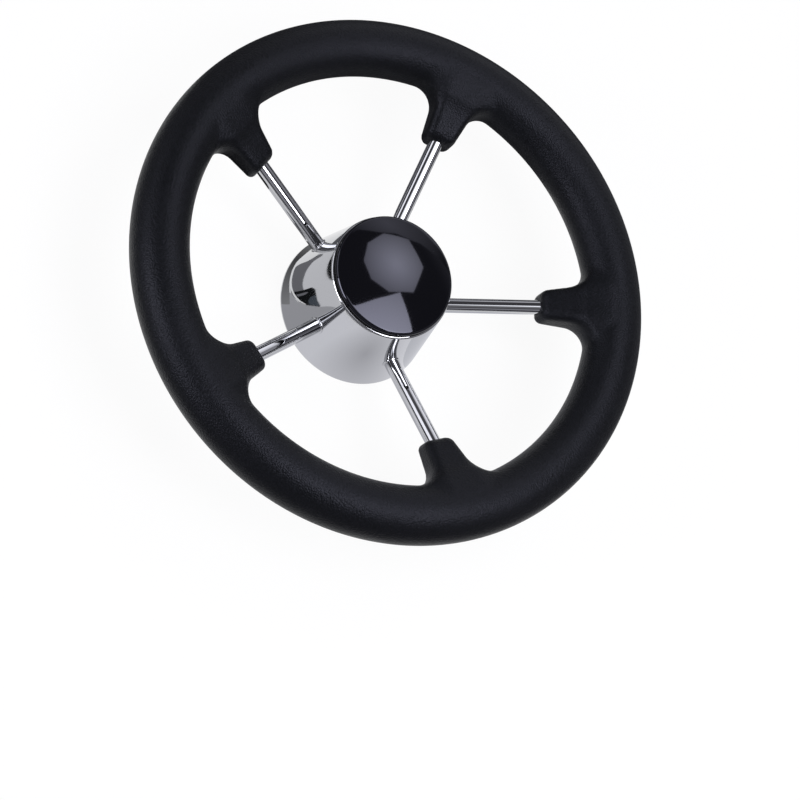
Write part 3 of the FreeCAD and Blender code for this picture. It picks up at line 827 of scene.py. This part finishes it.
def fan(places, level):
    """Corners of a flat card round the cone, given as (azimuth in degrees, inner and outer radius in mm)."""
    azimuths = np.linspace(places[0][0], places[-1][0], 49)
    known, inner, outer = np.array(places, float).T
    edges = [np.interp(azimuths, known, radii) * MM for radii in (inner, outer)]
    kernel = np.array([1, 2, 3, 2, 1]) / 9
    edges = [np.convolve(np.pad(edge, 2, mode="edge"), kernel, mode="valid") for edge in edges]
    angles = np.radians(azimuths)
    height = (level + 1) * 0.4 * MM
    rim = [(r * math.cos(a), r * math.sin(a), height) for r, a in zip(edges[1], angles)]
    return rim + [(r * math.cos(a), r * math.sin(a), height) for r, a in zip(edges[0][::-1], angles[::-1])]


def curved_wall(distance, edges):
    """Corners and faces of an upright curved wall, given as (azimuth, foot, top) in degrees."""
    corners = []
    for azimuth, *elevations in edges:
        a = math.radians(azimuth)
        heights = [distance * math.tan(math.radians(elevation)) for elevation in elevations]
        corners += [(distance * math.cos(a), distance * math.sin(a), height) for height in heights]
    return corners, [(2 * i, 2 * i + 2, 2 * i + 3, 2 * i + 1) for i in range(len(edges) - 1)]


def wall_spot(azimuth, height):
    """A point on the far wall, at an azimuth in degrees."""
    a = math.radians(azimuth)
    return FAR_WALL * math.cos(a), FAR_WALL * math.sin(a), height


def add_card(name, place, board):
    """A card that shows in reflections only: the camera, soft light and shadows pass it by."""
    if isinstance(board, str):
        board = emitter(name + "_board", board, 1.0)
    card = add_panel(name, place, board)
    card.visible_diffuse = False
    card.visible_shadow = False
    return card


# Distances from the wheel's axis and the height of the overhead softbox, in metres.
SKY, FAR_WALL, NEAR_WALL, OVERHEAD = 1.5, 2.2, 1.9, 1.3
SOFTBOX = "#f8f8ff"
OCTAGON = ((59.2, 56.0), (50.0, 47.7), (36.0, 42.6), (19.7, 46.9), (6.5, 58.3), (14.8, 70.2), (44.1, 72.5),
           (60.4, 65.5))

# Cards on the floor round the cone that only reflections show: painted reflections in the polished steel, the
# cap and the foam.
# The dark and grey cards paint shade and shadow round and under the wheel, and the white line card paints a
# highlight.
# Each is: name, level above the floor, board and edges. A board is a colour, or a colour with a glow's middle
# in mm, its reach in metres and its strength there and past its reach. An edge is (azimuth in degrees, inner
# and outer radius in mm).
CARDS = (
    # painted shade: a dark floor under the horns, which their undersides and the cone's edge reflect
    ("horn_shade_card", 1, "#1e1e20", (
        (124, 95, 150), (132, 95.5, 150), (138, 96, 150), (146, 98, 150), (151, 100.5, 150), (155, 103, 150),
        (160, 108, 150))),
    # painted shadow: the rods' shadow on the floor, for their reflections
    ("rod_shadow_card", 1, "#5a5a5e", ((203, 116, 150), (245, 116, 150))),
    # painted reflection: a floor a little greyer than the backdrop, left of the cone
    ("pale_card", 0, "#e1e1e4", ((114, 74, 100), (150, 68, 115), (190, 68, 115), (197, 100, 115))),
    # painted shade and painted reflection: grey bands and a dark patch with streaks on the cone's left,
    # standing for the shaded floor and a horn's reflection
    ("grey_shade_card", 1, "#77777b", (
        (121, 73, 79), (124, 69.5, 80), (127, 66, 74), (130, 59.7, 72), (134, 56.2, 70.8), (138, 55.8, 70),
        (146, 56.6, 70), (152, 58, 70.6), (158, 59.5, 73))),
    ("low_shade_card", 1, "#b2b2b6", (
        (158, 50, 60), (166, 50, 65.5), (169, 50, 69), (173, 50, 75), (177, 50, 83), (181, 50, 90),
        (185, 50, 99), (190, 50, 106), (198, 50, 112))),
    ("dark_shade_card", 2, "#18191b", (
        (157.4, 59.5, 81), (159, 60, 84), (161.2, 61.5, 86.4), (165, 65, 87.2), (168.2, 68, 87.6),
        (172.8, 74.5, 88.2), (176.5, 82, 89), (180.7, 89, 90.2))),
    ("slate_card", 3, "#4c525a", ((167, 80, 86.5), (170, 77, 87), (174, 78, 88), (180, 88.5, 90))),
    ("streak_card", 3, "#75757a", ((160.3, 64.5, 75), (161.3, 64.5, 77.5), (162.6, 66, 74))),
    # painted shade: a dark band at the cone's foot, darkest near its middle on the left
    ("rim_shade_card", 2, ("#f4f4f6", (-34, 42), 0.042, 0.06, 0.36), (
        (112, 50, 57.5), (116, 50, 57.4), (122, 50, 56.1), (130, 50, 54.1), (138.6, 50, 54.3),
        (147.5, 50, 55.5), (153.5, 50, 56.8), (160, 50, 58), (168, 50, 58))),
    # painted highlight: a bright line in the cone's reflection near its rear edge
    ("highlight_line_card", 4, "#ffffff", (
        (116, 57.4, 58.4), (122, 56.1, 57.1), (130, 54.1, 55.2), (138.6, 54.3, 55.4), (147.5, 55.5, 56.8),
        (153.5, 56.9, 58.5), (159.7, 60, 61.9), (165.8, 64.7, 66.8), (169.2, 68.8, 70.4), (172.4, 74, 74.6))),
    # painted reflection: a floor a little greyer than the backdrop, right of the cone
    ("right_card", 1, "#dadbe1", ((298, 50, 125), (345, 50, 125))),
    # painted shadow: the wheel's shadow on the floor under it, darkest near the middle, for the reflections
    ("under_shadow_card", 0, ("#fafaff", (-22, -80), 0.055, 0.58, 0.93), ((197, 50, 115), (298, 50, 115))),
)


def place_camera(scene, studio):
    """The camera that looks along the photograph's direction."""
    camera = bpy.data.objects.new("camera", bpy.data.cameras.new("camera"))
    scene.collection.objects.link(camera)
    right, up = Vector(studio.right).normalized(), Vector(studio.up).normalized()
    turn = Matrix((right, up, right.cross(up))).transposed().to_4x4()
    camera.matrix_world = Matrix.Translation(studio.eye) @ turn
    camera.data.sensor_width = 36.0
    camera.data.lens = studio.lens
    camera.data.shift_y = studio.shift
    camera.data.clip_start, camera.data.clip_end = 0.01, 50.0
    scene.camera = camera


def lay_floor(scene, studio):
    """A round floor that keeps the wheel's shadow and looks white to the camera and in reflections."""
    shape = bmesh.new()
    bmesh.ops.create_circle(shape, cap_ends=True, segments=96, radius=studio.floor_radius)
    mesh = bpy.data.meshes.new("studio_floor")
    shape.to_mesh(mesh)
    shape.free()
    floor = bpy.data.objects.new("studio_floor", mesh)
    scene.collection.objects.link(floor)
    material, tree = new_material("backdrop_paper")
    paths = add_node(tree, "ShaderNodeLightPath").outputs
    seen = add_node(tree, "ShaderNodeMath", {0: paths["Is Camera Ray"], 1: paths["Is Glossy Ray"]},
                    operation="MAXIMUM")
    seen = add_node(tree, "ShaderNodeMath", {0: seen.outputs[0], 1: paths["Is Transmission Ray"]},
                    operation="MAXIMUM")
    share = add_node(tree, "ShaderNodeMath", {0: seen.outputs[0]}, {1: 0.93}, operation="MULTIPLY")
    paper = add_node(tree, "ShaderNodeBsdfDiffuse", values={"Color": linear("#f2f2f2")})
    white = add_node(tree, "ShaderNodeEmission",
                     values={"Color": linear(studio.backdrop), "Strength": 1.0})
    both = add_node(tree, "ShaderNodeMixShader",
                    {0: share.outputs[0], 1: paper.outputs[0], 2: white.outputs[0]})
    add_node(tree, "ShaderNodeOutputMaterial", {"Surface": both.outputs[0]})
    mesh.materials.append(material)


def hang_panels():
    """The softboxes and lit walls round the wheel."""
    aim = sky_polygon(((32.3, 58.0),), SKY)[0]
    glow = fading_emitter("octagon_glow", SOFTBOX, aim, 0.42, 4.6, 1.6)
    add_panel("octagon_softbox", sky_polygon(OCTAGON, SKY), glow)
    corner = Vector((0.60, 0.10))
    left, near = [Vector((math.cos(math.radians(a)), math.sin(math.radians(a)))) for a in (187.0, 280.0)]
    left, near = 0.72 * left, 1.2 * near
    oblong = [(*spot, OVERHEAD) for spot in (corner, corner + left, corner + left + near, corner + near)]
    glow = fading_emitter("overhead_glow", SOFTBOX, (0.06, -0.97, OVERHEAD), 1.25, 10.0, 3.6)
    add_panel("overhead_softbox", oblong, glow)
    board = [(x, y, OVERHEAD + 0.02) for x, y in ((-0.10, 0.12), (-0.85, 0.05), (-0.80, -0.95), (0.10, -1.1))]
    glow = fading_emitter("ceiling_board_glow", SOFTBOX, (-0.18, -0.05, OVERHEAD), 0.42, 2.4, 0.22)
    add_panel("ceiling_board", board, glow)
    side = facing_polygon((-0.90, 0.12, 0.42), 1.4, 0.47, 4, math.radians(45))
    add_panel("side_softbox", side, emitter("side_glow", SOFTBOX, 7.5))
    corners, faces = curved_wall(FAR_WALL, ((14, 0, 26), (26, 0, 32), (40, 0, 32), (68, 0, 36), (84, 0, 37)))
    glow = fading_emitter("wall_glow", SOFTBOX, wall_spot(45, 0.6), 1.8, 1.5, 0.35)
    add_panel("bright_wall", corners, glow, faces)
    corners, faces = curved_wall(FAR_WALL, (
        (12, 26, 33), (19, 29, 35), (26, 32, 37.4), (30.6, 32, 38.8), (35.4, 32, 41.5), (43, 32, 43.6),
        (52, 33.5, 47.5), (65, 35.5, 49.5), (72, 36, 51)))
    glow = fading_emitter("wall_head_glow", SOFTBOX, wall_spot(50, 1.9), 1.3, 0.98, 0.08)
    add_panel("wall_head", corners, glow, faces)
    corners, faces = curved_wall(NEAR_WALL, ((118, 14, 36), (137, 12, 38), (156, 12, 38)))
    add_panel("pale_wall", corners, emitter("pale_wall_glow", SOFTBOX, 1.6), faces)
    corners, faces = curved_wall(NEAR_WALL, ((112, 0, 12), (160, 0, 12)))
    add_panel("dark_skirting", corners, emitter("dark_skirting_paint", "#6b6b6e", 1.0), faces)


def lay_cards():
    """The cards on the floor, which only the polished steel and the cap show: painted reflections, most of
    them painted shade.
    """
    # painted reflection: a grey surround and a darker grey sheet on the far side, which darken the floor that
    # reflections show
    add_card("surround_card", flat_arc(0.24, 1.6, 112, 380, 0.002, 96), "#909096")
    add_card("shade_card", flat_arc(78 * MM, 1.6, 20, 112, 0.002, 48), "#5f5f64")
    for name, level, board, places in CARDS:
        if not isinstance(board, str):
            shade, (x, y), reach, strength, far_strength = board
            board = fading_emitter(name + "_board", shade, (x * MM, y * MM, 0.0), reach, strength,
                                   far_strength)
        add_card(name, fan(places, level), board)


def light_room(scene, studio):
    """A white backdrop for the camera. All other rays meet pale walls under a dark ceiling."""
    world = bpy.data.worlds.new("studio_room")
    world.use_nodes = True
    tree = world.node_tree
    tree.nodes.clear()
    direction = add_node(tree, "ShaderNodeTexCoord").outputs["Generated"]
    height = add_node(tree, "ShaderNodeSeparateXYZ", {0: direction}).outputs["Z"]
    level = add_node(tree, "ShaderNodeMapRange", {"Value": height},
                     {"From Min": 0.45, "From Max": 0.66, "To Min": studio.horizon,
                      "To Max": studio.ceiling}, interpolation_type="SMOOTHSTEP")
    room = add_node(tree, "ShaderNodeBackground", {"Strength": level.outputs[0]},
                    {"Color": linear("#f6f5ff")})
    backdrop = add_node(tree, "ShaderNodeBackground",
                        values={"Color": linear(studio.backdrop), "Strength": 1.0})
    paths = add_node(tree, "ShaderNodeLightPath").outputs
    mixed = add_node(tree, "ShaderNodeMixShader",
                     {0: paths["Is Camera Ray"], 1: room.outputs[0], 2: backdrop.outputs[0]})
    add_node(tree, "ShaderNodeOutputWorld", {"Surface": mixed.outputs[0]})
    scene.world = world


class WHEEL_OT_studio(bpy.types.Operator):
    """Sets up the pale floor, the softboxes, the cards, the backdrop and the camera"""

    bl_idname = "wheel.studio"
    bl_label = "Studio"

    def execute(self, context):
        studio, scene = context.scene.wheel_studio, context.scene
        scene.view_settings.view_transform = "Standard"
        place_camera(scene, studio)
        lay_floor(scene, studio)
        hang_panels()
        lay_cards()
        light_room(scene, studio)
        return {"FINISHED"}


OPERATORS = (WHEEL_OT_foam_grip, WHEEL_OT_rods, WHEEL_OT_weld_beads, WHEEL_OT_hub_cone, WHEEL_OT_hub_boss,
             WHEEL_OT_centre_cap, WHEEL_OT_rim_ring, WHEEL_OT_studio)
SETTINGS = (("wheel_grip", GripSettings), ("wheel_rods", RodSettings), ("wheel_hub", HubSettings),
            ("wheel_cap", CapSettings), ("wheel_studio", StudioSettings))


class WHEEL_PT_panel(bpy.types.Panel):
    """Lists the wheel's settings and the operators that build it"""

    bl_idname = "WHEEL_PT_panel"
    bl_label = "Boat Steering Wheel"
    bl_space_type = "VIEW_3D"
    bl_region_type = "UI"
    bl_category = "Wheel"

    def draw(self, context):
        for name, group in SETTINGS:
            box = self.layout.box()
            for field in group.__annotations__:
                box.prop(getattr(context.scene, name), field)
        for operator in OPERATORS:
            self.layout.operator(operator.bl_idname)


def register():
    for name, group in SETTINGS:
        bpy.utils.register_class(group)
        setattr(bpy.types.Scene, name, bpy.props.PointerProperty(type=group))
    for operator in OPERATORS:
        bpy.utils.register_class(operator)
    bpy.utils.register_class(WHEEL_PT_panel)


def unregister():
    bpy.utils.unregister_class(WHEEL_PT_panel)
    for operator in reversed(OPERATORS):
        bpy.utils.unregister_class(operator)
    for name, group in reversed(SETTINGS):
        delattr(bpy.types.Scene, name)
        bpy.utils.unregister_class(group)


def main():
    register()
    bpy.ops.wheel.studio()
    bpy.ops.wheel.foam_grip()
    bpy.ops.wheel.rods()
    bpy.ops.wheel.weld_beads()
    bpy.ops.wheel.hub_cone()
    bpy.ops.wheel.hub_boss()
    bpy.ops.wheel.centre_cap()
    bpy.ops.wheel.rim_ring()


if __name__ == "__main__":
    main()
